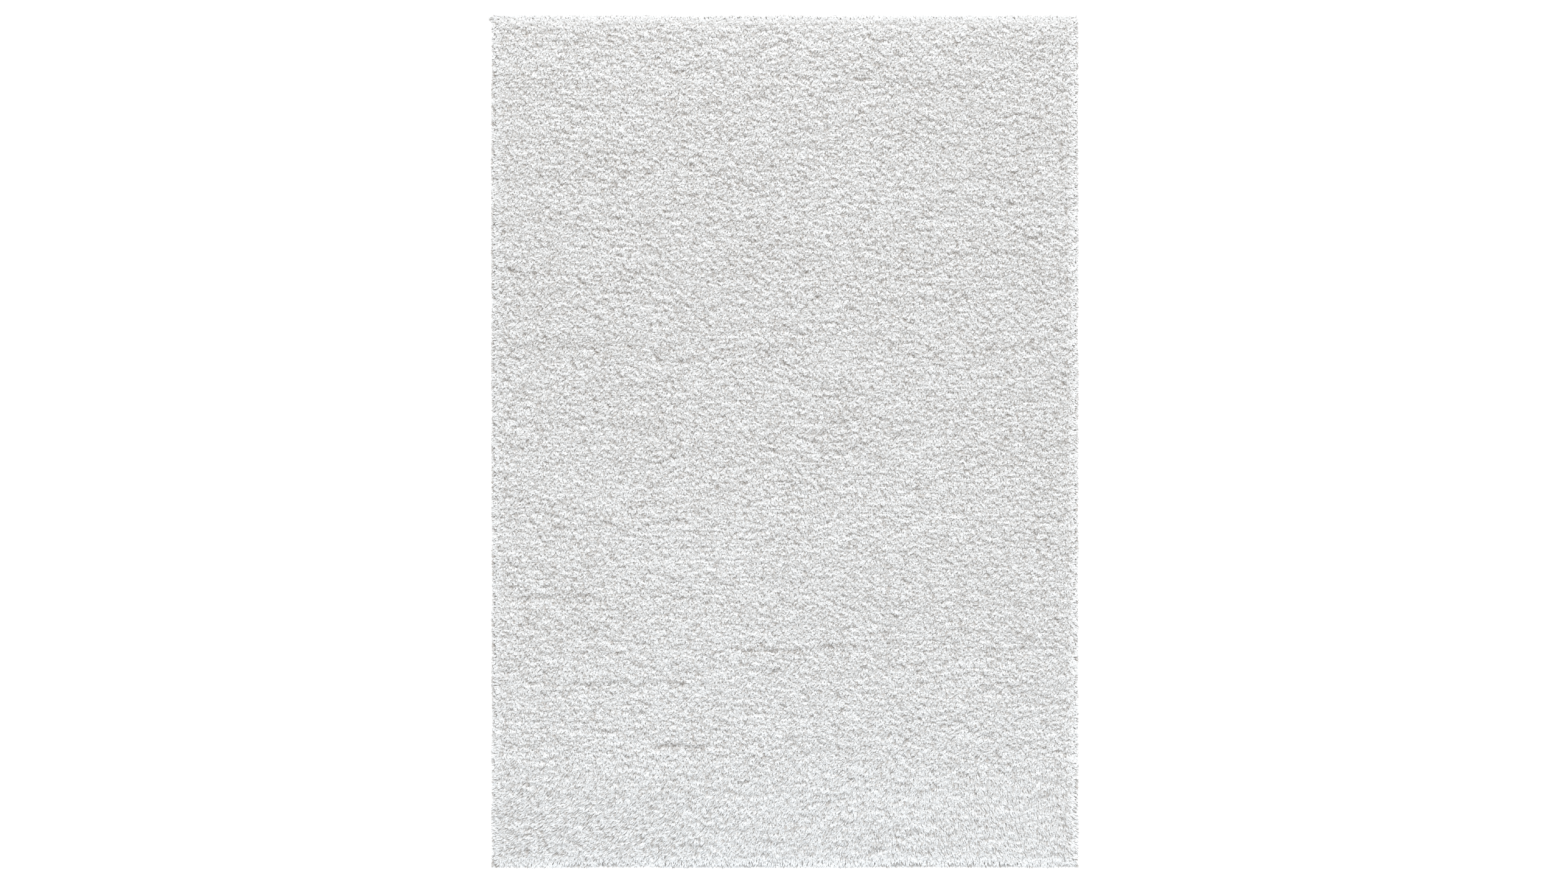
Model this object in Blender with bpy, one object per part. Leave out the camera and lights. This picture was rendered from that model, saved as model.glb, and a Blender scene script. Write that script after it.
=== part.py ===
"""A rectangular shag rug lying flat, as one solid: a thick, lumpy slab of pile on its ground.

Locks of pile splay out round the rim and rest level on the floor. +Y is along the length, and the pile
leans down it, towards -Y. +Z is up, and the origin is on the floor under the middle. Sizes are in metres.
"""

import math
import random

import bmesh
import bpy
from mathutils import Vector, noise

# The finished size, with the locks and the highest lump.
WIDTH = 1.600
LENGTH = 2.323
HEIGHT = 0.038

# The slab inside the locks. Its cells are about as wide as a bunch of tufts, and each cell of the rim
# grows one lock.
RIM_REACH = 0.018
HALF_WIDTH = WIDTH / 2 - RIM_REACH
HALF_LENGTH = LENGTH / 2 - RIM_REACH
CELLS_ACROSS = 44
CELLS_ALONG = 64

# The pile's surface: its usual height, and how far it sinks towards the rim.
PILE_TOP = 0.033
RIM_DROP = 0.009
RIM_FADE = 0.022

# Bunches of tufts, which are wider than they are long, on long low swells, and the roughness of the tufts.
BUNCH_HEIGHT = 0.0075
BUNCH_ACROSS = 0.130
BUNCH_ALONG = 0.075
BUNCH_LAYER = 0.0
SWELL_HEIGHT = 0.0020
SWELL_SIZE = 0.55
SWELL_LAYER = 5.0
TUFT_ROUGHNESS = 0.0042

# Partings, where the pile falls open along a row of tufts. Each row of the table holds
# y at the start, y at the end, x at the start, x at the end, depth.
PARTINGS = (
    (1.011, 0.966, -0.415, 0.514, 0.0025),
    (0.903, 0.903, -0.655, -0.523, 0.0030),
    (0.705, 0.729, -0.713, -0.348, 0.0030),
    (0.381, 0.381, 0.348, 0.780, 0.0030),
    (0.256, 0.256, -0.780, -0.382, 0.0030),
    (-0.432, -0.432, -0.780, -0.481, 0.0030),
    (-0.568, -0.568, -0.199, 0.182, 0.0050),
    (-0.568, -0.568, 0.182, 0.763, 0.0020),
    (-0.664, -0.664, -0.697, -0.232, 0.0030),
    (-0.834, -0.834, -0.780, -0.630, 0.0040),
    (-0.834, -0.834, -0.431, -0.149, 0.0040),
)
PARTING_HALF_WIDTH = 0.020
PARTING_END_FADE = 0.040

# A lock narrows and droops in two steps. Each row holds the share of its reach, of its root's width and
# of its root's height. Its underside stays on the floor.
LOCK_STEPS = (
    (0.45, 0.74, 0.84),
    (1.00, 0.24, 0.22),
)
LOCK_SHORTEST = 0.55
LOCK_LEAN = 0.45
LOCK_STRAY = 0.30
CORNER_SPLAY = 0.75
CORNER_FADE = 0.110
SEED = 11

PILE_COLOUR = (0.86, 0.86, 0.85, 1.0)
PILE_ROUGHNESS = 0.95


def clear_scene():
    for old in list(bpy.data.objects):
        bpy.data.objects.remove(old, do_unlink=True)


def make_pile_material():
    material = bpy.data.materials.new("off_white_pile")
    material.use_nodes = True
    shader = material.node_tree.nodes["Principled BSDF"]
    shader.inputs["Base Color"].default_value = PILE_COLOUR
    shader.inputs["Roughness"].default_value = PILE_ROUGHNESS
    shader.inputs["Metallic"].default_value = 0.0
    material.diffuse_color = PILE_COLOUR
    return material


def fade(distance, width):
    """1 at no distance, falling smoothly to 0 at the width."""
    share = min(max(distance / width, 0.0), 1.0)
    return (1.0 + math.cos(math.pi * share)) / 2


def parting_depth(x, y):
    """How far the deepest parting here lowers the pile."""
    depth = 0.0
    for y_start, y_end, x_start, x_end, deepest in PARTINGS:
        along = min(max((x - x_start) / (x_end - x_start), 0.0), 1.0)
        line_y = y_start + along * (y_end - y_start)
        past_end = max(x_start - x, x - x_end, 0.0)
        across = math.exp(-(((y - line_y) / PARTING_HALF_WIDTH) ** 2))
        depth = max(depth, deepest * across * fade(past_end, PARTING_END_FADE))
    return depth


def pile_height(x, y, tufts):
    """The height of the pile's surface over a point of the slab."""
    bunches = noise.noise(Vector((x / BUNCH_ACROSS, y / BUNCH_ALONG, BUNCH_LAYER)))
    swells = noise.noise(Vector((x / SWELL_SIZE, y / SWELL_SIZE, SWELL_LAYER)))
    from_rim = min(HALF_WIDTH - abs(x), HALF_LENGTH - abs(y))
    height = PILE_TOP + BUNCH_HEIGHT * bunches + SWELL_HEIGHT * swells
    height += tufts.uniform(-TUFT_ROUGHNESS, TUFT_ROUGHNESS)
    height -= RIM_DROP * math.exp(-from_rim / RIM_FADE)
    return height - parting_depth(x, y)


def make_slab(bm, tufts):
    """Shapes the lumpy top, drops its rim to the floor and closes the underside. Returns the rim's faces."""
    bmesh.ops.create_grid(bm, x_segments=CELLS_ACROSS, y_segments=CELLS_ALONG, size=1.0)
    for vert in bm.verts:
        vert.co.x *= HALF_WIDTH
        vert.co.y *= HALF_LENGTH
        vert.co.z = pile_height(vert.co.x, vert.co.y, tufts)
    rim_edges = [edge for edge in bm.edges if edge.is_boundary]
    dropped = bmesh.ops.extrude_edge_only(bm, edges=rim_edges)["geom"]
    for item in dropped:
        if isinstance(item, bmesh.types.BMVert):
            item.co.z = 0.0
    floor_edges = [edge for edge in bm.edges if edge.is_boundary]
    bmesh.ops.edgeloop_fill(bm, edges=floor_edges)
    bmesh.ops.recalc_face_normals(bm, faces=bm.faces)
    return [item for item in dropped if isinstance(item, bmesh.types.BMFace)]


def sideways_drift(middle, sideways, tufts):
    """How far along the rim a lock's tip drifts, as a share of its reach.

    It leans down the length with the pile, strays at random, and turns towards the nearest corner.
    """
    corner = Vector((math.copysign(HALF_WIDTH, middle.x), math.copysign(HALF_LENGTH, middle.y), 0.0))
    to_corner = sideways.dot(corner - middle)
    splay = CORNER_SPLAY * fade(abs(to_corner), CORNER_FADE)
    lean = LOCK_LEAN * sideways.dot(Vector((0.0, -1.0, 0.0)))
    stray = tufts.uniform(-LOCK_STRAY, LOCK_STRAY)
    return lean * (1.0 - splay) + math.copysign(splay, to_corner) + stray


def grow_lock(bm, root, tufts):
    """Draws one face of the rim out into a tapering lock."""
    outward = root.normal.normalized()
    sideways = Vector((-outward.y, outward.x, 0.0))
    middle = root.calc_center_median()
    middle.z = 0.0
    drift = sideways_drift(middle, sideways, tufts)
    reach = RIM_REACH * tufts.uniform(LOCK_SHORTEST, 1.0)
    corners = [vert.co.copy() for vert in root.verts]
    tip = root
    for share_out, share_wide, share_high in LOCK_STEPS:
        tip = bmesh.ops.extrude_discrete_faces(bm, faces=[tip])["faces"][0]
        out = reach * share_out
        for vert, corner in zip(tip.verts, corners):
            from_middle = sideways * sideways.dot(corner - middle)
            moved = middle + from_middle * share_wide + outward * out + sideways * (drift * share_out * out)
            vert.co = Vector((moved.x, moved.y, corner.z * share_high))


def fit_to_size(bm):
    """Brings the box round the rug to its named size, centred, with the floor at z = 0."""
    for axis, size in enumerate((WIDTH, LENGTH, HEIGHT)):
        lowest = min(vert.co[axis] for vert in bm.verts)
        highest = max(vert.co[axis] for vert in bm.verts)
        origin = 0.0 if size == HEIGHT else (lowest + highest) / 2
        for vert in bm.verts:
            vert.co[axis] = (vert.co[axis] - origin) * size / (highest - lowest)


def make_rug(collection):
    tufts = random.Random(SEED)
    bm = bmesh.new()
    for root in make_slab(bm, tufts):
        grow_lock(bm, root, tufts)
    fit_to_size(bm)
    bmesh.ops.recalc_face_normals(bm, faces=bm.faces)
    mesh = bpy.data.meshes.new("shag_rug")
    bm.to_mesh(mesh)
    bm.free()
    mesh.shade_smooth()
    mesh.materials.append(make_pile_material())
    rug = bpy.data.objects.new("shag_rug", mesh)
    collection.objects.link(rug)


def main():
    clear_scene()
    collection = bpy.data.collections.new("shag_rug")
    bpy.context.scene.collection.children.link(collection)
    make_rug(collection)


main()
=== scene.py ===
"""The look of a rectangular off-white shag rug, lying flat.

The rug is a thin woven ground, a soft body of packed pile on it, and about two hundred thousand yarn ends.
Those on its face stand in tufts, row behind row, and lean down the length (towards -Y). Those of its rim
hang out over the edge all round. Sizes are in metres, and angles in radians where nothing else is said.
"""

import math

import bpy
import numpy as np
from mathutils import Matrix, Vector
from mathutils.bvhtree import BVHTree


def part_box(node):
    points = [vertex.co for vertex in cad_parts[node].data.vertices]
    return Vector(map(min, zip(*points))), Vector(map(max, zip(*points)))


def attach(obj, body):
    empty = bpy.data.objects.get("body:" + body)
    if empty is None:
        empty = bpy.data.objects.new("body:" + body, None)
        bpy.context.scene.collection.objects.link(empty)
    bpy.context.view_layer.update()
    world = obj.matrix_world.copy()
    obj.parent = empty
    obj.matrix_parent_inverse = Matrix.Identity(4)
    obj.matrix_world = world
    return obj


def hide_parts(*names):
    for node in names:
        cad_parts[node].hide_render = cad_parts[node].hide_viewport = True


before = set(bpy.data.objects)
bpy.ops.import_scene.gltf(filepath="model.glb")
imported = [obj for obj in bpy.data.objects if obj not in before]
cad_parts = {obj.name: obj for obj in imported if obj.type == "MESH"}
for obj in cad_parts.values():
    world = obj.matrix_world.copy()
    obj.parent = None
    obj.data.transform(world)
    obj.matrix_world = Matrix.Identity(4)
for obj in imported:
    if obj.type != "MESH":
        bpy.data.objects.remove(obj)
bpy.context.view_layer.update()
SOLID = "shag_rug"

# The rug's own size, from the solid.
LOW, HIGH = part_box(SOLID)
HALF_WIDTH = (HIGH.x - LOW.x) / 2
HALF_LENGTH = (HIGH.y - LOW.y) / 2

# The woven ground, which the rim's yarn ends overhang on every side.
OVERHANG = 0.016
GROUND_HALF_WIDTH = HALF_WIDTH - OVERHANG
GROUND_HALF_LENGTH = HALF_LENGTH - OVERHANG
GROUND_THICKNESS = 0.003
GROUND_CELL = 0.035

# The body of packed pile: how far it stands in from the solid's edge, how far its top lies under the nap,
# and how far it reaches into the ground, and at least above the ground's top.
BODY_INSET = 0.010
BODY_HALF_WIDTH = HALF_WIDTH - BODY_INSET
BODY_HALF_LENGTH = HALF_LENGTH - BODY_INSET
BODY_CELL = 0.0075
BODY_BELOW_NAP = 0.0040
BODY_LEAST = 0.001

# The edge of the rug's face: the yarn ends bend up to OVER_EDGE past the body, a line that lies EDGE_OUT
# further out on average, and wanders out and in by up to EDGE_WAVE.
OVER_EDGE = 0.0060
EDGE_OUT = 0.0012
EDGE_WAVE = 0.0030
EDGE_WAVE_SIZE = (0.060, 0.060)

# The pile's usual height, the share of the solid's lumps that it follows, how far inside the ground's
# edge it reads them at least, and how it sinks towards the rim.
PILE_TOP = 0.033
LUMPS_FOLLOWED = 0.20
LUMPS_INSET = 0.030
RIM_DROP = 0.0012
RIM_FADE = 0.016

# Random numbers: their seed, and how many spreads from the middle a normal one may lie.
SEED = 20
CUT_OFF = 2.2


class Draws:
    """Seeded random numbers, a stream of its own for each name, so that one piece never changes another."""

    def __init__(self, name):
        self.rng = np.random.default_rng([SEED, *name.encode()])

    def uniform(self, low, high, count):
        return self.rng.uniform(low, high, count)

    def normal(self, spread, count):
        return np.clip(self.rng.normal(0.0, spread, count), -CUT_OFF * spread, CUT_OFF * spread)


def smooth_step(share):
    """A share from 0 to 1, eased at both ends."""
    share = np.clip(share, 0.0, 1.0)
    return share * share * (3.0 - 2.0 * share)


def blend(values, i, j, across, along):
    """A grid's values inside its cells (i, j), by the shares of the way across and along them."""
    low = values[j, i] * (1 - across) + values[j, i + 1] * across
    high = values[j + 1, i] * (1 - across) + values[j + 1, i + 1] * across
    return low * (1 - along) + high * along


# The field of soft noise is a little larger than the rug. CELL_END keeps a place inside a grid's last cell.
NOISE_HALF_WIDTH = 1.1
NOISE_HALF_LENGTH = 1.5
CELL_END = 0.001


def soft_noise(x, y, size, name):
    """Smooth noise from -1 to 1, with bumps about as large as size (across, along); level past its field."""
    columns = int(2 * NOISE_HALF_WIDTH / size[0]) + 3
    rows = int(2 * NOISE_HALF_LENGTH / size[1]) + 3
    lattice = Draws(name).rng.uniform(-1.0, 1.0, (rows, columns))
    u = np.clip((x + NOISE_HALF_WIDTH) / size[0], 0.0, columns - 2 - CELL_END)
    v = np.clip((y + NOISE_HALF_LENGTH) / size[1], 0.0, rows - 2 - CELL_END)
    i, j = np.floor(u).astype(int), np.floor(v).astype(int)
    return blend(lattice, i, j, smooth_step(u - i), smooth_step(v - j))


UP = (0.0, 0.0, 1.0)

# No vector is taken to be shorter than this, so that none is divided by zero.
TINY = 1e-9


def unit(vectors):
    """The vectors' directions, as vectors of length 1."""
    return vectors / np.maximum(np.linalg.norm(vectors, axis=1, keepdims=True), TINY)


def turned(directions, angle):
    """Unit vectors (x, y) turned anticlockwise by the angle."""
    cos, sin = np.cos(angle), np.sin(angle)
    return np.stack([
        directions[:, 0] * cos - directions[:, 1] * sin,
        directions[:, 0] * sin + directions[:, 1] * cos,
    ], 1)


def grid(half_width, half_length, cell):
    """Points over a rectangle round the origin, about a cell apart, as one array of x and one of y."""
    columns = round(2 * half_width / cell) + 1
    rows = round(2 * half_length / cell) + 1
    across = np.linspace(-half_width, half_width, columns)
    along = np.linspace(-half_length, half_length, rows)
    return np.meshgrid(across, along)


class SolidTop:
    """Reads the height of the solid's surface, with rays cast straight down from over the rug."""

    RAY_START = 1.0

    def __init__(self):
        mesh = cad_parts[SOLID].data
        corners = [vert.co.copy() for vert in mesh.vertices]
        self.tree = BVHTree.FromPolygons(corners, [face.vertices[:] for face in mesh.polygons])

    def height(self, x, y):
        down = Vector((0.0, 0.0, -1.0))
        heights = np.full(len(x), PILE_TOP)
        for index, (px, py) in enumerate(zip(x, y)):
            hit = self.tree.ray_cast(Vector((px, py, self.RAY_START)), down)[0]
            if hit is not None:
                heights[index] = hit.z
        return heights


solid_top = SolidTop()


def rim_distance(x, y):
    """How far inside the body's edge a point is."""
    return np.minimum(BODY_HALF_WIDTH - np.abs(x), BODY_HALF_LENGTH - np.abs(y))


def edge_wave(x, y):
    """How far the rug's edge wanders outwards at a point."""
    return EDGE_OUT + EDGE_WAVE * soft_noise(x, y, EDGE_WAVE_SIZE, "rim_wave")


def pile_height(x, y):
    """How high the tufts usually stand at a point."""
    inner_x = np.clip(x, -GROUND_HALF_WIDTH + LUMPS_INSET, GROUND_HALF_WIDTH - LUMPS_INSET)
    inner_y = np.clip(y, -GROUND_HALF_LENGTH + LUMPS_INSET, GROUND_HALF_LENGTH - LUMPS_INSET)
    lumps = solid_top.height(inner_x, inner_y) - PILE_TOP
    drop = RIM_DROP * np.exp(-np.maximum(rim_distance(x, y), 0.0) / RIM_FADE)
    return PILE_TOP + LUMPS_FOLLOWED * lumps - drop


def add_mesh(name, points, corners, starts, material):
    """An object from arrays: points, the corner indices of all faces, and where each face starts."""
    mesh = bpy.data.meshes.new(name)
    mesh.vertices.add(len(points))
    mesh.vertices.foreach_set("co", np.asarray(points, np.float32).ravel())
    mesh.loops.add(len(corners))
    mesh.loops.foreach_set("vertex_index", np.asarray(corners, np.int32))
    mesh.polygons.add(len(starts))
    mesh.polygons.foreach_set("loop_start", np.asarray(starts, np.int32))
    mesh.update(calc_edges=True)
    mesh.materials.append(material)
    piece = bpy.data.objects.new(name, mesh)
    bpy.context.scene.collection.objects.link(piece)
    return piece


def set_values(piece, name, values):
    """Gives each point of a piece a number, which its material reads by name."""
    layer = piece.data.attributes.new(name, "FLOAT", "POINT")
    layer.data.foreach_set("value", values.astype(np.float32))


def add_slab(name, x, y, top, bottom, material):
    """A closed slab: a gridded top over the points (x, y), plain flat sides and one flat face under it."""
    rows, columns = x.shape
    index = np.arange(columns * rows).reshape(rows, columns)
    upper = np.stack([index[:-1, :-1], index[:-1, 1:], index[1:, 1:], index[1:, :-1]], 2).reshape(-1, 4)
    loop = np.concatenate([index[0, :-1], index[:-1, -1], index[-1, :0:-1], index[:0:-1, 0]])
    under = columns * rows + np.arange(len(loop))
    side = np.stack([loop, under, np.roll(under, -1), np.roll(loop, -1)], 1)
    points = np.stack([x.ravel(), y.ravel(), top.ravel()], 1)
    points = np.concatenate([points, points[loop] * (1.0, 1.0, 0.0) + (0.0, 0.0, bottom)])
    quads = np.concatenate([upper, side])
    corners = np.concatenate([quads.ravel(), under[::-1]])
    starts = np.append(np.arange(0, 4 * len(quads), 4), 4 * len(quads))
    piece = add_mesh(name, points, corners, starts, material)
    piece.data.polygons.foreach_set("use_smooth", np.arange(len(starts)) < len(upper))
    return piece


# One yarn end is a folded blade of five points: its root, the left, right and crest of its bend, and its
# tip. Each point has a share of the way along the blade, which colours it, and one across it.
ROOT, LEFT, RIGHT, CREST, TIP = range(5)
YARN_POINTS = 5
YARN_FACES = np.array([(ROOT, RIGHT, CREST), (ROOT, CREST, LEFT), (CREST, RIGHT, TIP), (LEFT, CREST, TIP)])
YARN_ALONG = np.array([0.02, 0.60, 0.60, 0.60, 0.98])
YARN_ACROSS = np.array([0.50, 0.15, 0.85, 0.50, 0.50])

# A yarn end's tone runs from 0, the deepest, to 1, the palest, in this many steps.
TONE_STEPS = 16
USUAL_TONE = 0.5

# The share of a facet's own direction in its shading. The rest is the soft direction of its points.
FACET_SHARE = 0.55


def set_normals(piece, points, soft_normals):
    """Shades the facets of yarn ends, each partly by its own direction and partly by a soft one."""
    corner = points[:, YARN_FACES]
    own = np.cross(corner[:, :, 1] - corner[:, :, 0], corner[:, :, 2] - corner[:, :, 0])
    own = unit(own.reshape(-1, 3)).reshape(len(points), len(YARN_FACES), 1, 3)
    mixed = FACET_SHARE * own + (1 - FACET_SHARE) * soft_normals[:, YARN_FACES]
    layer = piece.data.attributes.new("custom_normal", "FLOAT_VECTOR", "CORNER")
    layer.data.foreach_set("vector", unit(mixed.reshape(-1, 3)).astype(np.float32).ravel())


def set_map(piece, step):
    """Lays yarn ends of the same tone on one another in the map for the bake, in a strip for each tone."""
    u = (step[:, None] + YARN_ACROSS[YARN_FACES.ravel()][None]) / TONE_STEPS
    v = np.repeat(YARN_ALONG[YARN_FACES.ravel()][None], len(step), 0)
    layer = piece.data.uv_layers.new(name="OFBake")
    layer.uv.foreach_set("vector", np.stack([u, v], 2).astype(np.float32).ravel())


def add_yarns(name, points, tone, material, soft_normals):
    """A piece of many yarn ends, from the five points, the tone and the soft directions of each."""
    count = len(points)
    corners = YARN_FACES.ravel()[None] + (np.arange(count) * YARN_POINTS)[:, None]
    starts = np.arange(0, count * YARN_FACES.size, 3)
    piece = add_mesh(name, points.reshape(-1, 3), corners.ravel(), starts, material)
    step = np.clip((tone * TONE_STEPS).astype(int), 0, TONE_STEPS - 1)
    set_normals(piece, points, soft_normals)
    set_map(piece, step)
    set_values(piece, "tone", np.repeat((step + 0.5) / TONE_STEPS, YARN_POINTS))
    set_values(piece, "along", np.tile(YARN_ALONG, count))
    return piece


def node(tree, kind, **values):
    """A shader node with its inputs or its settings, each by its name."""
    made = tree.nodes.new(kind)
    for key, value in values.items():
        if key in made.inputs:
            made.inputs[key].default_value = value
        else:
            setattr(made, key, value)
    return made


def new_material(name, roughness):
    """A material, its nodes and its shader."""
    material = bpy.data.materials.new(name)
    material.use_nodes = True
    tree = material.node_tree
    shader = tree.nodes["Principled BSDF"]
    shader.inputs["Roughness"].default_value = roughness
    return material, tree, shader


def colour_ramp(tree, stops):
    """A colour ramp with the stops, each (position, colour)."""
    ramp = node(tree, "ShaderNodeValToRGB")
    elements = ramp.color_ramp.elements
    while len(elements) < len(stops):
        elements.new(0.5)
    for element, (position, colour) in zip(elements, stops):
        element.position = position
        element.color = (*colour, 1.0)
    return ramp


# The finish of all pile: matte, with fine fibres.
PILE_ROUGHNESS = 1.0
PILE_SPECULAR = 0.1
FIBRE_SIZE = 0.0034
FIBRE_DEPTH = 0.0030
FIBRE_DETAIL = 2.0
FIBRE_ROUGHNESS = 0.6


def add_fibres(tree, shader):
    """Dulls the finish and raises fine fibres in it, in the rug's own space, so that pieces match."""
    place = node(tree, "ShaderNodeTexCoord")
    fibres = node(tree, "ShaderNodeTexNoise", Scale=1.0 / FIBRE_SIZE, Detail=FIBRE_DETAIL,
                  Roughness=FIBRE_ROUGHNESS)
    bump = node(tree, "ShaderNodeBump", Strength=1.0, Distance=FIBRE_DEPTH)
    tree.links.new(place.outputs["Object"], fibres.inputs["Vector"])
    tree.links.new(fibres.outputs["Fac"], bump.inputs["Height"])
    tree.links.new(bump.outputs["Normal"], shader.inputs["Normal"])
    shader.inputs["Specular IOR Level"].default_value = PILE_SPECULAR


# A yarn end's colour from its root to its tip, warm and dim at the root as painted shade; what its tone
# multiplies that by, from the deepest to the palest, its warm, dim deep end being painted shade; and how
# much of the light passes through.
YARN_AND_ROOT_SHADE_STOPS = ((0.0, (0.63, 0.59, 0.55)), (0.55, (0.90, 0.895, 0.89)), (1.0, (0.93, 0.935, 0.94)))
TONE_AND_SHADE_STOPS = ((0.0, (0.62, 0.585, 0.555)), (USUAL_TONE, (0.931, 0.933, 0.935)), (1.0, (1.014, 1.025, 1.038)))
LIGHT_THROUGH = 0.20


def yarn_material():
    """Off-white yarn, with painted shade that makes it warm and dim at the root, and each end a little paler
    or deeper by its tone.
    """
    material, tree, shader = new_material("yarn", PILE_ROUGHNESS)
    along = node(tree, "ShaderNodeAttribute", attribute_name="along")
    tone = node(tree, "ShaderNodeAttribute", attribute_name="tone")
    along_ramp = colour_ramp(tree, YARN_AND_ROOT_SHADE_STOPS)
    tone_ramp = colour_ramp(tree, TONE_AND_SHADE_STOPS)
    colour = node(tree, "ShaderNodeVectorMath", operation="MULTIPLY")
    tree.links.new(along.outputs["Fac"], along_ramp.inputs["Fac"])
    tree.links.new(tone.outputs["Fac"], tone_ramp.inputs["Fac"])
    tree.links.new(along_ramp.outputs["Color"], colour.inputs[0])
    tree.links.new(tone_ramp.outputs["Color"], colour.inputs[1])
    tree.links.new(colour.outputs["Vector"], shader.inputs["Base Color"])
    add_fibres(tree, shader)
    through = node(tree, "ShaderNodeBsdfTranslucent")
    both_sides = node(tree, "ShaderNodeMixShader", Fac=LIGHT_THROUGH)
    tree.links.new(colour.outputs["Vector"], through.inputs["Color"])
    tree.links.new(shader.outputs["BSDF"], both_sides.inputs[1])
    tree.links.new(through.outputs["BSDF"], both_sides.inputs[2])
    tree.links.new(both_sides.outputs["Shader"], tree.nodes["Material Output"].inputs["Surface"])
    return material


# The packed pile's colour, by its depth and its grain together: its lips, its slopes and its hollows, the
# hollows dim and warm as painted shade.
BODY_GRAIN_AND_SHADE_STOPS = ((0.45, (0.93, 0.93, 0.93)), (0.65, (0.84, 0.83, 0.82)), (0.90, (0.58, 0.55, 0.52)))
GRAIN_SIZE = 0.0030
GRAIN_SHARE = 0.8
GRAIN_DETAIL = 2.0


def body_material():
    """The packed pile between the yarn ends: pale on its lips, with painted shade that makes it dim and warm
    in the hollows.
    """
    material, tree, shader = new_material("packed_pile", PILE_ROUGHNESS)
    place = node(tree, "ShaderNodeTexCoord")
    depth = node(tree, "ShaderNodeAttribute", attribute_name="depth")
    grain = node(tree, "ShaderNodeTexNoise", Scale=1.0 / GRAIN_SIZE, Detail=GRAIN_DETAIL)
    mixed = node(tree, "ShaderNodeMath", operation="MULTIPLY_ADD")
    mixed.inputs[1].default_value = GRAIN_SHARE
    ramp = colour_ramp(tree, BODY_GRAIN_AND_SHADE_STOPS)
    tree.links.new(place.outputs["Object"], grain.inputs["Vector"])
    tree.links.new(grain.outputs["Fac"], mixed.inputs[0])
    tree.links.new(depth.outputs["Fac"], mixed.inputs[2])
    tree.links.new(mixed.outputs["Value"], ramp.inputs["Fac"])
    tree.links.new(ramp.outputs["Color"], shader.inputs["Base Color"])
    add_fibres(tree, shader)
    return material


# The backing's weave: the pitch of its threads, the colours of its gaps, of its threads' sides and of their
# crowns, darker in the gaps and on the sides as painted shade, how high the threads stand, and how uneven
# they are.
THREAD_PITCH = 0.005
THREAD_SHADE_STOPS = ((0.0, (0.40, 0.36, 0.30)), (0.35, (0.55, 0.51, 0.44)), (1.0, (0.68, 0.64, 0.57)))
THREAD_HEIGHT = 0.0010
THREAD_FLAWS = 1.2
THREAD_DETAIL = 2.0
THREAD_ROUGHNESS = 0.9

# A wave texture of scale 1 turns by this many radians in a metre.
WAVE_RATE = 20.0


def ground_material():
    """The woven backing, seen only from below: crossing threads, uneven, in a dull natural colour, with
    painted shade in the gaps and on the threads' sides.
    """
    material, tree, shader = new_material("woven_ground", THREAD_ROUGHNESS)
    place = node(tree, "ShaderNodeTexCoord")
    weave = node(tree, "ShaderNodeMath", operation="MULTIPLY")
    for side, direction in enumerate("XY"):
        threads = node(tree, "ShaderNodeTexWave", bands_direction=direction, Distortion=THREAD_FLAWS,
                       Detail=THREAD_DETAIL, Scale=2 * math.pi / (WAVE_RATE * THREAD_PITCH))
        tree.links.new(place.outputs["Object"], threads.inputs["Vector"])
        tree.links.new(threads.outputs["Fac"], weave.inputs[side])
    ramp = colour_ramp(tree, THREAD_SHADE_STOPS)
    bump = node(tree, "ShaderNodeBump", Distance=THREAD_HEIGHT)
    tree.links.new(weave.outputs["Value"], ramp.inputs["Fac"])
    tree.links.new(weave.outputs["Value"], bump.inputs["Height"])
    tree.links.new(ramp.outputs["Color"], shader.inputs["Base Color"])
    tree.links.new(bump.outputs["Normal"], shader.inputs["Normal"])
    return material


# The way the pile leans, as an angle from -Y, positive towards +X: a little aside all over, with swirls.
LEAN_ASIDE = -0.30
SWIRL = 0.40
SWIRL_SIZE = (0.32, 0.22)

# Towards the lower end, between these two places on Y, it turns into a fan: FAN_LEFT at the left edge,
# FAN_RIGHT at the right one. The yarn ends are longer, thinner and tidier there by these shares.
FAN_START = -0.78
FAN_WHOLE = -1.00
FAN_LEFT = -0.75
FAN_RIGHT = 0.25
FAN_LONGER = 0.45
FAN_THINNER = 0.25
FAN_TIDIER = 0.45

# Within this distance of the body's edge the pile leans more and more outwards.
RIM_ZONE = 0.028
RIM_PULL = 2.5


def fanned(y):
    """How much of the fan there is at a point: none over most of the rug, all of it at the lower end."""
    return smooth_step((FAN_START - y) / (FAN_START - FAN_WHOLE))


def lean_at(x, y):
    """The way the pile leans, as unit vectors (x, y): down the length, swirling, and outwards at the rim."""
    fan = FAN_LEFT + (FAN_RIGHT - FAN_LEFT) * (x / HALF_WIDTH + 1.0) / 2
    share = fanned(y)
    swirl = LEAN_ASIDE * (1 - share) + fan * share + SWIRL * soft_noise(x, y, SWIRL_SIZE, "swirl")
    out_x = smooth_step(1.0 - (BODY_HALF_WIDTH - np.abs(x)) / RIM_ZONE) * np.sign(x)
    out_y = smooth_step(1.0 - (BODY_HALF_LENGTH - np.abs(y)) / RIM_ZONE) * np.sign(y)
    return unit(np.stack([np.sin(swirl) + RIM_PULL * out_x, -np.cos(swirl) + RIM_PULL * out_y], 1))


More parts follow.
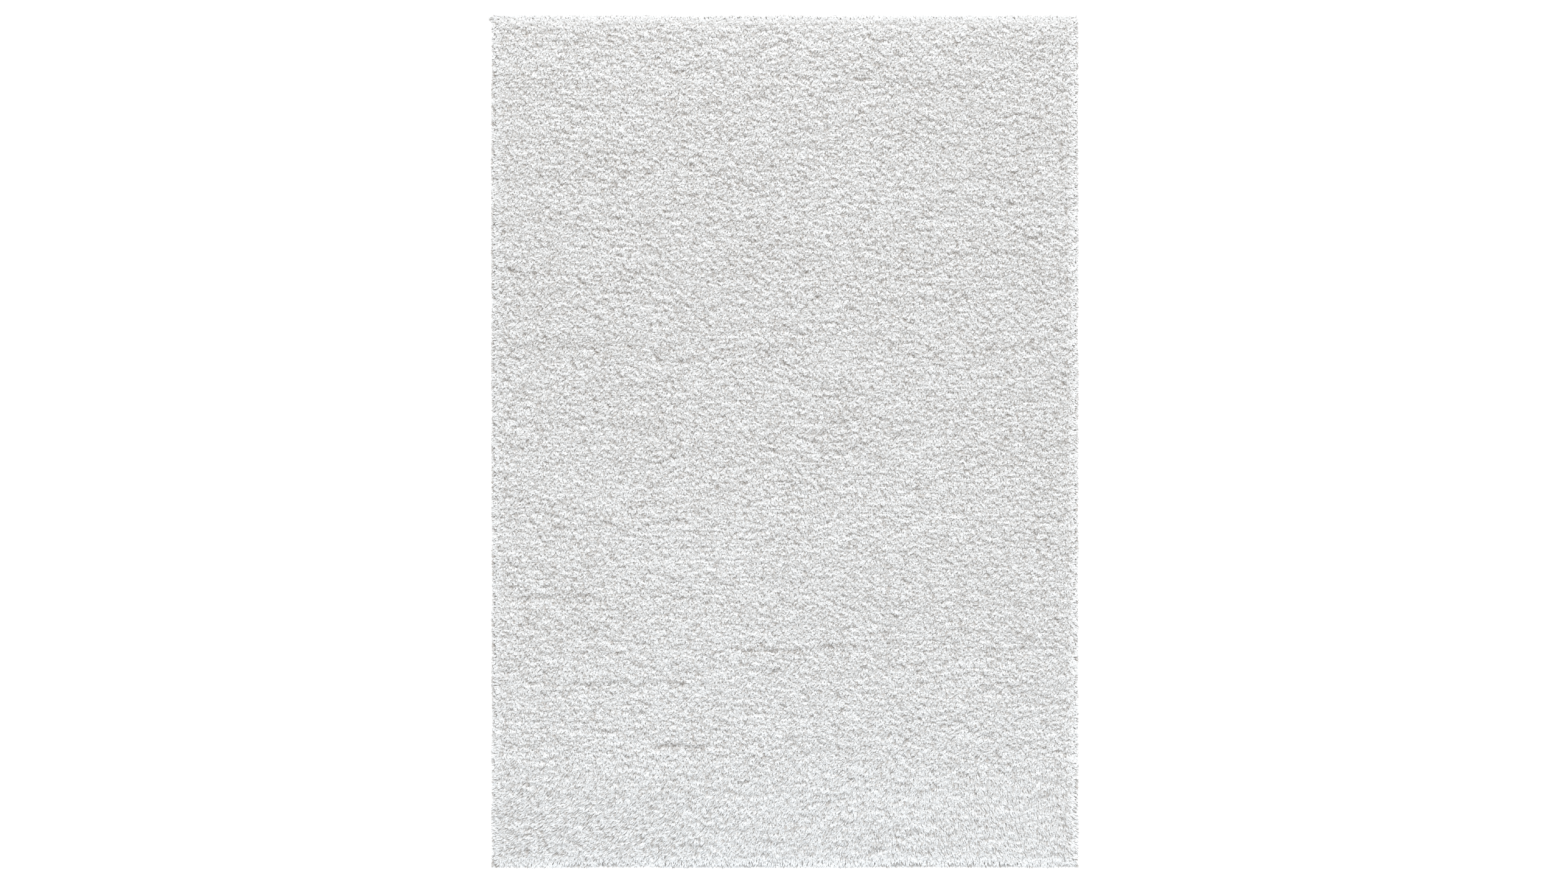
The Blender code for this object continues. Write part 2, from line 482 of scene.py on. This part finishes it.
# Partings that run across the rug, as (y at the left end, y at the right end, left x, right x, depth).
PARTINGS = (
    (1.011, 0.966, -0.415, 0.514, 0.0025),
    (0.903, 0.903, -0.655, -0.523, 0.0030),
    (0.705, 0.729, -0.713, -0.348, 0.0030),
    (0.381, 0.381, 0.348, 0.780, 0.0030),
    (0.256, 0.256, -0.780, -0.382, 0.0030),
    (-0.432, -0.432, -0.780, -0.481, 0.0030),
    (-0.568, -0.568, -0.199, 0.182, 0.0050),
    (-0.568, -0.568, 0.182, 0.763, 0.0020),
    (-0.664, -0.664, -0.697, -0.232, 0.0030),
    (-0.834, -0.834, -0.780, -0.630, 0.0040),
    (-0.834, -0.834, -0.431, -0.149, 0.0040),
)
PARTING_HALF_WIDTH = 0.010
PARTING_END = 0.040
PARTING_WANDER = 0.010
PARTING_WANDER_SIZE = (0.05, 0.4)

# The share of its depth that a parting has on average, and how far that goes up and down in bumps along it.
PARTING_SHARE = 0.455
PARTING_SWING = 0.39
PARTING_SWING_SIZE = (0.045, 0.5)


def parting_depth(x, y):
    """How far the partings sink the nap at a point."""
    y = y + PARTING_WANDER * soft_noise(x, y, PARTING_WANDER_SIZE, "wander")
    sunk = np.zeros(x.shape)
    for left_y, right_y, left_x, right_x, depth in PARTINGS:
        middle = left_y + (right_y - left_y) * np.clip((x - left_x) / (right_x - left_x), 0.0, 1.0)
        across = smooth_step(1.0 - np.abs(y - middle) / PARTING_HALF_WIDTH)
        ends = smooth_step((x - left_x) / PARTING_END) * smooth_step((right_x - x) / PARTING_END)
        sunk = np.maximum(sunk, depth * across * ends)
    return sunk * (PARTING_SHARE + PARTING_SWING * soft_noise(x, y, PARTING_SWING_SIZE, "parting"))


# The nap is the relief that the yarn ends lie on. Its tufts stand in rows across the rug, which wave. Each
# differs a little from its place (in shares of the pitches), the usual height, the lean and the tone.
NAP_CELL = 0.0030
ROW_PITCH = 0.0105
TUFT_PITCH = 0.0145
ROW_WAVE = 0.003
ROW_WAVE_SIZE = (0.12, 0.07)
TUFT_STRAY = 0.22
TUFT_HEIGHT_STRAY = 0.0004
TUFT_TURN = 0.18
TUFT_TONE = 0.05

# A tuft is a wedge that slopes up along its lean to a lip ahead of its middle and falls off steeply past
# the lip. It is lower by its crown at its half width. Its wedge ends WEDGE_REACH from its middle. No gap
# between wedges is deeper than DEEPEST_GAP until partings and roughness are added.
LIP_AHEAD = 0.0060
TUFT_SLOPE = 0.32
LIP_STEEPNESS = 6.0
TUFT_HALF_WIDTH = 0.0100
CROWN = 0.0028
WEDGE_REACH = 0.020
DEEPEST_GAP = 0.0065

# The roughness is a relief of long ridges across the rug, moved up and down the length by a wander.
ROUGHNESS = 0.0013
ROUGHNESS_SIZE = (0.050, 0.011)
ROUGHNESS_WANDER = 0.014
ROUGHNESS_WANDER_SIZE = (0.060, 0.050)

# At its edge the nap rounds down over a shoulder, which ends past the yarn ends and a little above the
# ground.
SHOULDER = 0.0065
SHOULDER_PAST_YARN = 0.0045
EDGE_ABOVE_GROUND = 0.004


class Nap:
    """The relief that the yarn ends follow, as heights on a fine grid, and the tufts that make it."""

    def __init__(self):
        self.x, self.y = grid(HALF_WIDTH, HALF_LENGTH, NAP_CELL)
        self.cell_x = self.x[0, 1] - self.x[0, 0]
        self.cell_y = self.y[1, 0] - self.y[0, 0]
        self.place_tufts()
        usual = pile_height(self.x.ravel(), self.y.ravel()).reshape(self.x.shape)
        lips = np.maximum(self.raise_lips(), usual - DEEPEST_GAP) - parting_depth(self.x, self.y)
        self.depths = usual - lips
        wander = ROUGHNESS_WANDER * soft_noise(self.x, self.y, ROUGHNESS_WANDER_SIZE, "rough_wander")
        rough = lips + ROUGHNESS * soft_noise(self.x, self.y + wander, ROUGHNESS_SIZE, "rough")
        self.heights = self.rounded(rough)
        self.slopes = np.gradient(self.heights, self.cell_y, self.cell_x)

    def place_tufts(self):
        """Sets the tufts out in rows, with the height, lean and tone of each."""
        draws = Draws("tufts")
        rows = round(2 * BODY_HALF_LENGTH / ROW_PITCH)
        columns = round(2 * BODY_HALF_WIDTH / TUFT_PITCH)
        column, row = np.meshgrid(np.arange(columns), np.arange(rows))
        count = rows * columns
        across = ((column + draws.uniform(0.0, 1.0, rows)[:, None]).ravel() / columns) % 1.0
        along = (row.ravel() + 0.5) / rows
        x = (2 * across - 1) * BODY_HALF_WIDTH + TUFT_PITCH * draws.normal(TUFT_STRAY, count)
        y = (2 * along - 1) * BODY_HALF_LENGTH + ROW_PITCH * draws.normal(TUFT_STRAY, count)
        y = y + ROW_WAVE * soft_noise(x, y, ROW_WAVE_SIZE, "row_wave")
        self.tuft_x, self.tuft_y = x, y
        self.tops = pile_height(x, y) + draws.normal(TUFT_HEIGHT_STRAY, count)
        self.lean = turned(lean_at(x, y), draws.normal(TUFT_TURN, count))
        self.tones = draws.normal(TUFT_TONE, count)

    def raise_lips(self):
        """The height of the highest wedge at each point of the grid, which then belongs to its tuft."""
        heights = np.full(self.x.shape, PILE_TOP - WEDGE_REACH)
        self.owner = np.zeros(self.x.shape, int)
        near_i, near_j = self.nearest(self.tuft_x, self.tuft_y)
        reach = round(WEDGE_REACH / NAP_CELL)
        for step_j in range(-reach, reach + 1):
            for step_i in range(-reach, reach + 1):
                i, j = near_i + step_i, near_j + step_j
                inside = (i >= 0) & (i < self.x.shape[1]) & (j >= 0) & (j < self.x.shape[0])
                wedge = self.wedges(self.x[0, 0] + i * self.cell_x, self.y[0, 0] + j * self.cell_y)
                higher = np.flatnonzero(inside)
                higher = higher[wedge[higher] > heights[j[higher], i[higher]]]
                heights[j[higher], i[higher]] = wedge[higher]
                self.owner[j[higher], i[higher]] = higher
        return heights

    def wedges(self, x, y):
        """How high each tuft's wedge is at a point of its own."""
        off_x, off_y = x - self.tuft_x, y - self.tuft_y
        ahead = off_x * self.lean[:, 0] + off_y * self.lean[:, 1] - LIP_AHEAD
        aside = (off_x * self.lean[:, 1] - off_y * self.lean[:, 0]) / TUFT_HALF_WIDTH
        fall = np.where(ahead > 0, LIP_STEEPNESS * ahead, -TUFT_SLOPE * ahead)
        return self.tops - fall - CROWN * aside ** 2

    def rounded(self, lips):
        """The lips' heights, rounded down to the edge over the shoulder."""
        edge = GROUND_THICKNESS + EDGE_ABOVE_GROUND
        past = OVER_EDGE + edge_wave(self.x, self.y) + SHOULDER_PAST_YARN
        inward = np.clip((rim_distance(self.x, self.y) + past) / SHOULDER, 0.0, 1.0)
        return edge + (lips - edge) * np.sqrt(1.0 - (1.0 - inward) ** 2)

    def nearest(self, x, y):
        """The column and the row of the grid nearest to points."""
        column = np.rint((x - self.x[0, 0]) / self.cell_x).astype(int)
        row = np.rint((y - self.y[0, 0]) / self.cell_y).astype(int)
        return column, row

    def tuft(self, x, y):
        """The number of the tuft that each point belongs to."""
        column, row = self.nearest(x, y)
        return self.owner[np.clip(row, 0, self.x.shape[0] - 1), np.clip(column, 0, self.x.shape[1] - 1)]

    def normals(self, x, y):
        """The relief's own upward directions at points."""
        slope_y, slope_x = self.slopes
        raised = np.stack([-self.read(slope_x, x, y), -self.read(slope_y, x, y), np.ones(x.shape)], -1)
        return raised / np.linalg.norm(raised, axis=-1, keepdims=True)

    def read(self, values, x, y):
        """The grid's values between its points."""
        u = np.clip((x - self.x[0, 0]) / self.cell_x, 0.0, self.x.shape[1] - 1 - CELL_END)
        v = np.clip((y - self.y[0, 0]) / self.cell_y, 0.0, self.x.shape[0] - 1 - CELL_END)
        i, j = np.floor(u).astype(int), np.floor(v).astype(int)
        return blend(values, i, j, u - i, v - j)


# A yarn end of the face, seen from above: how far apart they bend, the usual length, where along it the
# bend is, and half its width there. Then how much the headings, lengths and widths differ.
YARN_PITCH = 0.0045
YARN_LENGTH = 0.0100
BEND_AT = 0.62
BEND_HALF_WIDTH = 0.0027
YARN_STRAY = 0.32
LENGTH_SPREAD = 0.15
WIDTH_RANGE = (0.65, 1.35)

# How a yarn end lies on the nap: how far its root dips, how far its bend and its tip may be lifted, how
# far it rolls over, how high its fold is, and how steeply it may follow the nap down before it overhangs.
ROOT_DIP = 0.0006
BEND_LIFT = 0.0006
TIP_LIFT = 0.0008
ROLL = 0.15
FOLD = 0.0005
STEEPEST_FALL = 0.25
STEEPEST_FALL_AT_RIM = 0.10

# How much paler a yarn end of the face is: by chance, as painted shade by how much shallower than
# USUAL_DEPTH it lies in the nap (in shares of DEEPEST_GAP), by slow waves over the rug, and as painted light
# at the rim.
YARN_TONE = 0.21
DEPTH_PAINTED_SHADE = 0.60
USUAL_DEPTH = 0.40
SLOW_TONE = 0.04
SLOW_TONE_SIZE = (0.45, 0.07)
RIM_PAINTED_LIGHT = 0.30

# Along the upper end the pile is more even and paler, as painted light.
TOP_ZONE = 0.045
TOP_CALM = 0.6
TOP_PAINTED_LIGHT = 0.08

# The face is cut across into this many pieces.
PILE_BANDS = 5


def bend_places(draws):
    """Where the yarn ends of the face bend: near an even grid, which ends a little past the body's edge."""
    x, y = grid(BODY_HALF_WIDTH + OVER_EDGE, BODY_HALF_LENGTH + OVER_EDGE, YARN_PITCH)
    x, y = x.ravel(), y.ravel()
    x = x + YARN_PITCH * draws.uniform(-0.5, 0.5, len(x))
    y = y + YARN_PITCH * draws.uniform(-0.5, 0.5, len(y))
    over = OVER_EDGE + edge_wave(x, y)
    x = np.clip(x, -BODY_HALF_WIDTH - over, BODY_HALF_WIDTH + over)
    y = np.clip(y, -BODY_HALF_LENGTH - over, BODY_HALF_LENGTH + over)
    return x, y


def blades(x, y, heading, length, width):
    """The five points (x, y) of each yarn end, seen from above."""
    middle = np.column_stack([x, y])
    behind = heading * (BEND_AT * length)[:, None]
    ahead = heading * ((1 - BEND_AT) * length)[:, None]
    aside = turned(heading, np.full(len(x), -math.pi / 2)) * width[:, None]
    return np.stack([middle - behind, middle - aside, middle + aside, middle, middle + ahead], 1)


def blade_heights(places, length, width, at_rim, nap, draws):
    """The heights of the five points of each yarn end, laid on the nap."""
    heights = nap.read(nap.heights, places[:, :, 0], places[:, :, 1])
    count = len(places)
    lift = draws.uniform(0.0, BEND_LIFT, count)
    roll = width * np.tan(draws.normal(ROLL, count))
    heights[:, LEFT] += lift - roll
    heights[:, RIGHT] += lift + roll
    bend = heights[:, CREST] + lift
    heights[:, CREST] = bend + FOLD
    steepest = STEEPEST_FALL + (STEEPEST_FALL_AT_RIM - STEEPEST_FALL) * at_rim
    lowest = bend - steepest * (1 - BEND_AT) * length
    heights[:, TIP] = np.maximum(heights[:, TIP], lowest) + draws.uniform(0.0, TIP_LIFT, count)
    heights[:, ROOT] -= ROOT_DIP
    return heights


def face_tones_with_painted_light(x, y, tuft, at_rim, nap, draws):
    """How pale each yarn end of the face is, with painted shade deep in the nap and painted light at the rim
    and the upper end.
    """
    depth = nap.read(nap.depths, x, y) / DEEPEST_GAP
    # Painted light: yarn ends near the rim are paler.
    placed = SLOW_TONE * soft_noise(x, y, SLOW_TONE_SIZE, "slow_tone") + RIM_PAINTED_LIGHT * at_rim
    # Painted shade: yarn ends that lie deep in the nap are darker.
    paler = placed + DEPTH_PAINTED_SHADE * (USUAL_DEPTH - depth)
    varied = paler + nap.tones[tuft] + draws.normal(YARN_TONE, len(x))
    # Painted light along the upper end: paler and more even.
    at_top = smooth_step(1.0 - (BODY_HALF_LENGTH - y) / TOP_ZONE)
    return USUAL_TONE + varied * (1 - TOP_CALM * at_top) + TOP_PAINTED_LIGHT * at_top


def grow_pile(material, nap):
    """The yarn ends over the whole face of the rug, in pieces by bands of the length."""
    draws = Draws("pile")
    x, y = bend_places(draws)
    count = len(x)
    tuft = nap.tuft(x, y)
    at_rim = smooth_step(1.0 - rim_distance(x, y) / RIM_ZONE)
    fan = fanned(y)
    lean = unit(nap.lean[tuft] * (1 - at_rim)[:, None] + lean_at(x, y) * at_rim[:, None])
    heading = turned(lean, draws.normal(YARN_STRAY, count) * (1 - FAN_TIDIER * fan))
    length = YARN_LENGTH * (1 + draws.normal(LENGTH_SPREAD, count)) * (1 + FAN_LONGER * fan)
    width = BEND_HALF_WIDTH * draws.uniform(*WIDTH_RANGE, count) * (1 - FAN_THINNER * fan)
    places = blades(x, y, heading, length, width)
    heights = blade_heights(places, length, width, at_rim, nap, draws)
    points = np.concatenate([places, heights[:, :, None]], 2)
    # Each end's tone carries painted shade and painted light as well as its own tone.
    tone = face_tones_with_painted_light(x, y, tuft, at_rim, nap, draws)
    upright = at_rim[:, None, None]
    soft = nap.normals(places[:, :, 0], places[:, :, 1]) * (1 - upright) + UP * upright

    edges = np.linspace(-BODY_HALF_LENGTH, BODY_HALF_LENGTH, PILE_BANDS + 1)
    band = np.clip(np.searchsorted(edges, y) - 1, 0, PILE_BANDS - 1)
    pieces = []
    for number in range(PILE_BANDS):
        mine = band == number
        pieces.append(add_yarns(f"pile_{number}", points[mine], tone[mine], material, soft[mine]))
    return pieces


# The rim's yarn ends hang out of each side in tiers, as (root height, root inset, tip height, reach). The
# inset and the reach count from the body's edge.
RIM_TIERS = (
    (0.0035, 0.004, 0.0008, 0.0055),
    (0.0070, 0.004, 0.0030, 0.0065),
    (0.0110, 0.004, 0.0060, 0.0070),
    (0.0150, 0.004, 0.0100, 0.0075),
    (0.0190, 0.005, 0.0145, 0.0075),
    (0.0225, 0.006, 0.0185, 0.0070),
)

# In a tier: how far apart the yarn ends stand, half their usual width at the bend and its range, how high
# they are folded there, and how much their tones differ.
RIM_PITCH = 0.0026
RIM_HALF_WIDTH = 0.0026
RIM_WIDTH_RANGE = (0.7, 1.3)
RIM_FOLD = 0.0008
RIM_YARN_TONE = 0.20

# How far they lean along the side, as a slope: down the length, by chance, with their clump, and away
# from the middle of the side near its corners.
RIM_LEAN = 0.45
RIM_LEAN_SPREAD = 0.45
CLUMP_LEAN = 0.35
CORNER_SPLAY = 0.20
CORNER_ZONE = 0.030

# How much their reach differs by chance and with their clump, how large a clump is, how much the heights of
# their tips differ, and how far past the body's edge a tip may reach before the stray lock is drawn out.
RIM_REACH_SPREAD = 0.18
CLUMP_REACH = 0.20
CLUMP_SIZE = (0.018, 0.5)
RIM_TIP_SPREAD = 0.0018
RIM_FURTHEST = 0.0110
RIM_LIMIT = np.array([BODY_HALF_WIDTH, BODY_HALF_LENGTH]) + RIM_FURTHEST

# Where between root and tip they bend, in x, y and height, how far the bend is raised, how low the bends
# and the tips may come, and how far their shading faces upwards for 1 outwards.
RIM_BEND_AT = (0.6, 0.6, 0.4)
RIM_ARCH = 0.0030
RIM_LOWEST_BEND = 0.0025
RIM_LOWEST_TIP = 0.0005
RIM_FACE_UP = 0.8

# One lock near a corner stands out from the rest: its middle, its half size, and how far it is drawn out.
STRAY_LOCK = (-0.803, 1.150)
STRAY_LOCK_SIZE = (0.014, 0.009)
STRAY_LOCK_PULL = (-0.018, 0.002)


def rim_tier(start, end, tier, draws):
    """One tier of yarn ends along one side, from corner to corner: their roots, tips and facings."""
    root_height, inset, tip_height, reach = tier
    length = np.linalg.norm(end - start)
    forward = (end - start) / length
    outward = np.array([forward[1], -forward[0]])
    count = int(length / RIM_PITCH)
    at = (np.arange(count) + draws.uniform(0, 1, count)) / count * length
    clump = soft_noise(at, np.full(count, reach), CLUMP_SIZE, f"clump{start}{tip_height}")
    edge = start + forward * at[:, None]
    near = np.minimum(at, length - at)
    splay = CORNER_SPLAY * smooth_step(1 - near / CORNER_ZONE) * np.where(at < length / 2, -1, 1)
    downward = RIM_LEAN * forward.dot((0.0, -1.0))
    lean = downward + splay + draws.normal(RIM_LEAN_SPREAD, count) + CLUMP_LEAN * clump
    out = reach * (1 + CLUMP_REACH * clump + draws.normal(RIM_REACH_SPREAD, count))
    out = out + edge_wave(edge[:, 0], edge[:, 1])
    root_xy = edge - outward * inset
    tip_xy = edge + outward * out[:, None] + forward * (lean * (out + inset))[:, None]
    tip_xy = np.clip(tip_xy, -RIM_LIMIT, RIM_LIMIT)
    in_lock = np.exp(-(((tip_xy - STRAY_LOCK) / STRAY_LOCK_SIZE) ** 2).sum(1))
    tip_xy += in_lock[:, None] * STRAY_LOCK_PULL
    root = np.column_stack([root_xy, np.full(count, root_height)])
    tip = np.column_stack([tip_xy, tip_height + draws.normal(RIM_TIP_SPREAD, count)])
    facing = np.tile((*outward, RIM_FACE_UP), (count, 1))
    return root, tip, facing


def grow_rim(material):
    """The yarn ends that hang out of the rug's sides and hide the ground's edge."""
    draws = Draws("rim")
    corners = np.array([(-1, -1), (1, -1), (1, 1), (-1, 1)]) * (BODY_HALF_WIDTH, BODY_HALF_LENGTH)
    tiers = []
    for start, end in zip(corners, np.roll(corners, -1, 0)):
        tiers += [rim_tier(start, end, tier, draws) for tier in RIM_TIERS]
    root, tip, facing = (np.concatenate(part) for part in zip(*tiers))
    bend = root + (tip - root) * RIM_BEND_AT
    bend[:, 2] = np.maximum(bend[:, 2] + RIM_ARCH, RIM_LOWEST_BEND)
    tip[:, 2] = np.maximum(tip[:, 2], RIM_LOWEST_TIP)
    count = len(root)
    tone = USUAL_TONE + draws.normal(RIM_YARN_TONE, count)
    aside = unit(np.cross(tip - root, UP))
    wide = aside * (RIM_HALF_WIDTH * draws.uniform(*RIM_WIDTH_RANGE, count))[:, None]
    upward = np.cross(aside, unit(tip - root))
    points = np.stack([root, bend - wide, bend + wide, bend + RIM_FOLD * upward, tip], 1)
    soft = np.repeat(unit(facing)[:, None], YARN_POINTS, 1)
    return add_yarns("pile_rim", points, tone, material, soft)


def make_body(material, nap):
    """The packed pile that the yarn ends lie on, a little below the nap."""
    x, y = grid(BODY_HALF_WIDTH, BODY_HALF_LENGTH, BODY_CELL)
    step = BODY_CELL / 2
    around = [(0, 0), (step, 0), (-step, 0), (0, step), (0, -step)]
    lowest = np.min([nap.read(nap.heights, x + dx, y + dy) for dx, dy in around], 0)
    height = np.maximum(lowest - BODY_BELOW_NAP, GROUND_THICKNESS + BODY_LEAST)
    piece = add_slab("packed_pile", x, y, height, GROUND_THICKNESS - BODY_LEAST, material)
    # Its depth in the nap sets the painted shade of its hollows.
    depth = np.zeros(len(piece.data.vertices))
    depth[:x.size] = nap.read(nap.depths, x, y).ravel() / WEDGE_REACH
    set_values(piece, "depth", depth)
    return piece


def make_ground(material):
    """The woven ground, a thin flat sheet on the floor."""
    x, y = grid(GROUND_HALF_WIDTH, GROUND_HALF_LENGTH, GROUND_CELL)
    return add_slab("woven_ground", x, y, np.full(x.shape, GROUND_THICKNESS), 0.0, material)


# The floor: its size, how far it lies below the rug's underside, its colour, and its glow, which keeps it
# white.
FLOOR_SIZE = 60.0
FLOOR_DROP = 0.0003
FLOOR_COLOUR = (0.9, 0.9, 0.9)
FLOOR_ROUGHNESS = 0.9
FLOOR_GLOW = 0.60
FLOOR_GLOW_COLOUR = (1.0, 1.0, 1.0)


def make_floor():
    """A plain white floor."""
    material, tree, shader = new_material("floor", FLOOR_ROUGHNESS)
    shader.inputs["Base Color"].default_value = (*FLOOR_COLOUR, 1.0)
    shader.inputs["Emission Color"].default_value = (*FLOOR_GLOW_COLOUR, 1.0)
    shader.inputs["Emission Strength"].default_value = FLOOR_GLOW
    bpy.ops.mesh.primitive_plane_add(size=FLOOR_SIZE, location=(0.0, 0.0, -FLOOR_DROP))
    floor = bpy.context.object
    floor.name = "floor"
    floor.data.materials.append(material)


# The light from all round, and the key light past the upper end. Its angles are in degrees: up from the
# floor, from +Y towards +X, and how wide it looks from the rug.
SKY_STRENGTH = 0.69
SKY_COLOUR = (1.0, 0.972, 0.935)
KEY_STRENGTH = 3.60
KEY_COLOUR = (0.905, 0.955, 1.0)
KEY_ELEVATION = 38.0
KEY_AZIMUTH = 8.0
KEY_ANGLE = 14.0

# The two soft lights past the ends, with the power and the colour of each.
END_LIGHT_Y = 2.0
END_LIGHT_HEIGHT = 0.8
END_LIGHT_SIZE = (2.0, 0.5)
LOWER_END_POWER = 4.0
LOWER_END_COLOUR = (0.62, 0.82, 1.0)
UPPER_END_POWER = 3.2
UPPER_END_COLOUR = (1.0, 1.0, 1.0)


def aim(lamp, source):
    """Turns a lamp to shine from the direction of the source, and puts it in the scene."""
    lamp.rotation_euler = source.to_track_quat("Z", "Y").to_euler()
    bpy.context.scene.collection.objects.link(lamp)


def make_sky():
    """Even light from all round."""
    world = bpy.data.worlds.new("studio")
    bpy.context.scene.world = world
    world.use_nodes = True
    background = world.node_tree.nodes["Background"]
    background.inputs["Color"].default_value = (*SKY_COLOUR, 1.0)
    background.inputs["Strength"].default_value = SKY_STRENGTH


def make_key_light():
    """The main light, from high over the upper end."""
    light = bpy.data.lights.new("key", "SUN")
    light.energy = KEY_STRENGTH
    light.color = KEY_COLOUR
    light.angle = math.radians(KEY_ANGLE)
    elevation, azimuth = math.radians(KEY_ELEVATION), math.radians(KEY_AZIMUTH)
    level = math.cos(elevation)
    source = Vector((math.sin(azimuth) * level, math.cos(azimuth) * level, math.sin(elevation)))
    aim(bpy.data.objects.new("key", light), source)


def make_end_light(name, y, power, colour):
    """A soft box past one end of the rug, out of the picture, aimed at that end."""
    light = bpy.data.lights.new(name, "AREA")
    light.shape = "RECTANGLE"
    light.size, light.size_y = END_LIGHT_SIZE
    light.energy = power
    light.color = colour
    lamp = bpy.data.objects.new(name, light)
    lamp.location = (0.0, y, END_LIGHT_HEIGHT)
    lamp.visible_camera = False
    rug_end = Vector((0.0, math.copysign(HALF_LENGTH, y), 0.0))
    aim(lamp, lamp.location - rug_end)


# The photograph, in pixels: its frame, and the rug's outline in it. Then the camera, its sensor in
# millimetres.
PHOTO_WIDTH = 2576
PHOTO_HEIGHT = 1449
RUG_LEFT, RUG_RIGHT = 807.5, 1772.0
RUG_TOP, RUG_BOTTOM = 24.5, 1424.5
CAMERA_HEIGHT = 9.0
SENSOR_WIDTH = 36.0
FURTHEST_SEEN = 200.0


def make_camera():
    """Straight above, with a long lens, so that the rug's outline falls where the photograph has it."""
    metres_per_pixel = 2 * HALF_LENGTH / (RUG_BOTTOM - RUG_TOP)
    camera = bpy.data.cameras.new("camera")
    camera.sensor_width = SENSOR_WIDTH
    camera.lens = SENSOR_WIDTH * CAMERA_HEIGHT / (PHOTO_WIDTH * metres_per_pixel)
    camera.clip_end = FURTHEST_SEEN
    view = bpy.data.objects.new("camera", camera)
    shift_x = (PHOTO_WIDTH / 2 - (RUG_LEFT + RUG_RIGHT) / 2) * metres_per_pixel
    shift_y = ((RUG_TOP + RUG_BOTTOM) / 2 - PHOTO_HEIGHT / 2) * metres_per_pixel
    view.location = (shift_x, shift_y, CAMERA_HEIGHT)
    bpy.context.scene.collection.objects.link(view)
    bpy.context.scene.camera = view


def main():
    bpy.context.scene.view_settings.view_transform = "Standard"
    make_camera()
    make_sky()
    make_key_light()
    make_end_light("lower_end_light", -END_LIGHT_Y, LOWER_END_POWER, LOWER_END_COLOUR)
    make_end_light("upper_end_light", END_LIGHT_Y, UPPER_END_POWER, UPPER_END_COLOUR)
    make_floor()
    yarn = yarn_material()
    ground = make_ground(ground_material())
    nap = Nap()
    pile = [make_body(body_material(), nap), *grow_pile(yarn, nap), grow_rim(yarn)]
    for piece in (ground, *pile):
        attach(piece, "root")
        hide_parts(SOLID)


main()
